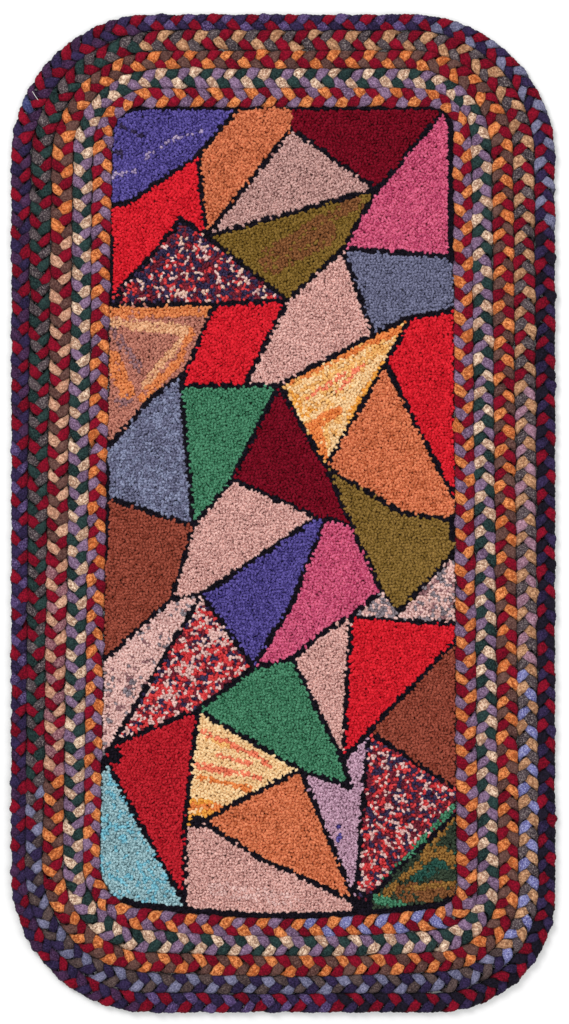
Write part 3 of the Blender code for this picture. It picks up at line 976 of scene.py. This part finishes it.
def yarnsFor(chosen):
    # the yarn of each loop: its patch's own, mottled in clusters, with the streaks laid over it
    picked = []
    for index in chosen:
        owner = loopPatches[index]
        if owner < 0:
            picked.append("black")
            continue
        x, y = loopPlaces[index]
        cluster = clusterTree.find((x, y, 0.0))[1]
        draw = clusterDraws[cluster] if chance.uniform() < pile["clusterShare"] else chance.uniform()
        names, shares = zip(*patches[owner][3])
        yarn = names[int(np.searchsorted(np.cumsum(shares) / sum(shares), draw))]
        for streak, place in enumerate(streakOwners):
            if place != owner:
                continue
            name, start, end, halfWide, share = streaks[streak]
            gap = gapToSegment(loopPlaces[index:index + 1], np.array(start) * mm, np.array(end) * mm)[0]
            if gap + chance.normal(0, 0.7 * mm) < halfWide * mm and chance.uniform() < share:
                yarn = name
        picked.append(yarn)
    return picked


clusterPlaces = chance.uniform(panelFine.min(axis=0), panelFine.max(axis=0), (pile["clusters"], 2))
clusterTree = treeOf(clusterPlaces)
clusterDraws = chance.uniform(0, 1, pile["clusters"])
streakOwners = patchOf(np.array([np.add(streak[1], streak[2]) / 2 for streak in streaks]) * mm)
black = np.flatnonzero(loopPatches < 0)
addPile("black", black, yarnsFor(black))
for family in sorted({patch[0] for patch in patches}):
    members = [index for index, patch in enumerate(patches) if patch[0] == family]
    chosen = np.flatnonzero(np.isin(loopPatches, members))
    addPile(family, chosen, yarnsFor(chosen))

# foundation cloth under the loops
cloth = {
    "inset": 0.7 * mm,
    "threadsPerMetre": 900.0,
    "edgePoints": 360,
    "rimShrink": 0.9,  # of a ring inside the edge, to the middle
    "underside": 0.05 * mm,
    "overTop": 0.3 * mm,  # how far the cloth reaches up into the loops' feet
    "deep": (96, 80, 62),
    "bright": (150, 130, 104),
    # colour of the lint and painted shade on the pile side
    "lintAndShade": (58, 40, 40),
}


def clothMaterial():
    shade = Shade("foundation_cloth", pileLook)
    place = shade.node("ShaderNodeTexCoord", {}, {}, "Object")
    grid = shade.stretch(place, (cloth["threadsPerMetre"] * 3.14,) * 3)
    x = shade.node("ShaderNodeSeparateXYZ", {}, {0: grid}, 0)
    y = shade.node("ShaderNodeSeparateXYZ", {}, {0: grid}, 1)
    weave = shade.maths("SINE", x) * shade.maths("SINE", y) * 0.5 + 0.5
    blend = weave * 0.6 + shade.noise(place, 300.0) * 0.4
    colour = shade.mix(blend, screen(cloth["deep"]), screen(cloth["bright"]))
    # lint and painted shade fill the weave on the pile side
    pileSide = shade.rise(shade.height(place), 0.6 * mm, 2.8 * mm)
    shade.feed(shade.surface["Base Color"], shade.mix(pileSide, colour, screen(cloth["lintAndShade"])))
    shade.bump(weave, 0.6, 0.3 * mm)
    return shade.material


def addCloth():
    count = cloth["edgePoints"]
    line = evenlySpaced(panelLine, count)
    edge = line - outwardNormals(line) * cloth["inset"]
    middle = (edge.min(axis=0) + edge.max(axis=0)) / 2
    low = cloth["underside"]
    high = pile["clothTop"] + cloth["overTop"]
    rings = []
    for height, shrink in ((low, cloth["rimShrink"]), (low, 1.0), (high, 1.0), (high, cloth["rimShrink"])):
        ring = middle + (edge - middle) * shrink
        rings.append(np.column_stack((ring, np.full(count, height))))
    k = np.arange(count)
    after = (k + 1) % count
    quads = []
    for first in (0, count, 2 * count):
        quads.append(np.column_stack((first + after, first + k, first + count + k, first + count + after)))
    caps = np.vstack((k, 3 * count + k[::-1]))
    points = np.vstack(rings)
    blocks = [np.vstack(quads), caps]
    low = points.min(axis=0)
    span = points.max(axis=0) - low
    corners = np.concatenate([block.ravel() for block in blocks])
    places = (points[:, :2] - low[:2]) / span[:2] * (0.48, 0.98) + (0.01, 0.01)
    places[points[:, 2] > 1 * mm] += (0.5, 0)
    piece = newPiece(
        "panel_cloth", points, blocks, [clothMaterial()], np.zeros(len(blocks[0]) + 2), {},
        {"OFBake": places[corners]},
    )
    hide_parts("hooked_panel")
    return piece


clothPiece = addCloth()
print("cloth done")

# loose end of the lacing thread, lying over row 1 at the top left
thread = {
    "path": ((-296, 497, 9.2), (-293, 493, 12.0), (-290, 488, 12.3), (-287, 484, 11.8), (-286, 481, 9.4)),
    "radius": 0.32 * mm,
    "sides": 6,
    "colour": (222, 220, 216),
}


def addThread():
    path = np.array(thread["path"]) * mm
    along = np.gradient(path, axis=0)
    along /= np.linalg.norm(along, axis=1)[:, None]
    beside = np.cross(along, (0, 0, 1))
    beside /= np.linalg.norm(beside, axis=1)[:, None]
    above = np.cross(beside, along)
    sides = thread["sides"]
    angles = 2 * np.pi * np.arange(sides) / sides
    spread = np.cos(angles)[None, :, None] * beside[:, None]
    spread = spread + np.sin(angles)[None, :, None] * above[:, None]
    rings = path[:, None] + thread["radius"] * spread
    spot = np.arange(sides)
    station = np.arange(len(path) - 1)[:, None] * sides
    beyond = (spot + 1) % sides
    ahead = station + sides
    quads = np.stack((station + spot, station + beyond, ahead + beyond, ahead + spot), axis=2)
    caps = np.array((spot[::-1], (len(path) - 1) * sides + spot))
    shade = Shade("loose_thread", pileLook)
    shade.feed(shade.surface["Base Color"], screen(thread["colour"]))
    blocks = [quads.reshape(-1, 4), caps]
    faceMaterial = np.zeros(len(blocks[0]) + len(caps))
    piece = newPiece("loose_thread", rings.reshape(-1, 3), blocks, [shade.material], faceMaterial, {}, {})


addThread()

# floor and light
studio = {
    "floor": (244, 244, 244),
    "floorSize": 8.0,
    "world": 0.75,
    "lamps": (
        {"place": (-1.6, 1.9, 3.0), "size": 1.6, "power": 70.0},
        {"place": (1.8, -0.6, 3.2), "size": 2.4, "power": 30.0},
    ),
}


def addStudio():
    half = studio["floorSize"] / 2
    mesh = bpy.data.meshes.new("floor")
    corners = [(-half, -half, 0), (half, -half, 0), (half, half, 0), (-half, half, 0)]
    mesh.from_pydata(corners, [], [(0, 1, 2, 3)])
    floor = bpy.data.objects.new("floor", mesh)
    bpy.context.scene.collection.objects.link(floor)
    shade = Shade("pale_floor", {"roughness": 0.8, "sheen": 0.0, "gloss": 0.1})
    place = shade.node("ShaderNodeTexCoord", {}, {}, "Object")
    colour = shade.mix(shade.noise(place, 3.0), screen(studio["floor"]), screen(studio["floor"], 0.995))
    shade.feed(shade.surface["Base Color"], colour)
    mesh.materials.append(shade.material)
    floor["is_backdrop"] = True
    world = bpy.data.worlds.new("studio")
    world.use_nodes = True
    world.node_tree.nodes["Background"].inputs["Color"].default_value = (1, 1, 1, 1)
    world.node_tree.nodes["Background"].inputs["Strength"].default_value = studio["world"]
    bpy.context.scene.world = world
    for number, lamp in enumerate(studio["lamps"]):
        data = bpy.data.lights.new("lamp_%d" % number, "AREA")
        data.size = lamp["size"]
        data.energy = lamp["power"]
        light = bpy.data.objects.new("lamp_%d" % number, data)
        light.location = lamp["place"]
        light.rotation_euler = (-light.location).to_track_quat("-Z", "Y").to_euler()
        bpy.context.scene.collection.objects.link(light)
    bpy.context.scene.view_settings.view_transform = "Standard"


addStudio()

triangles = sum(len(polygon.vertices) - 2 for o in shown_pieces() for polygon in o.data.polygons)
print("triangles in all", triangles)
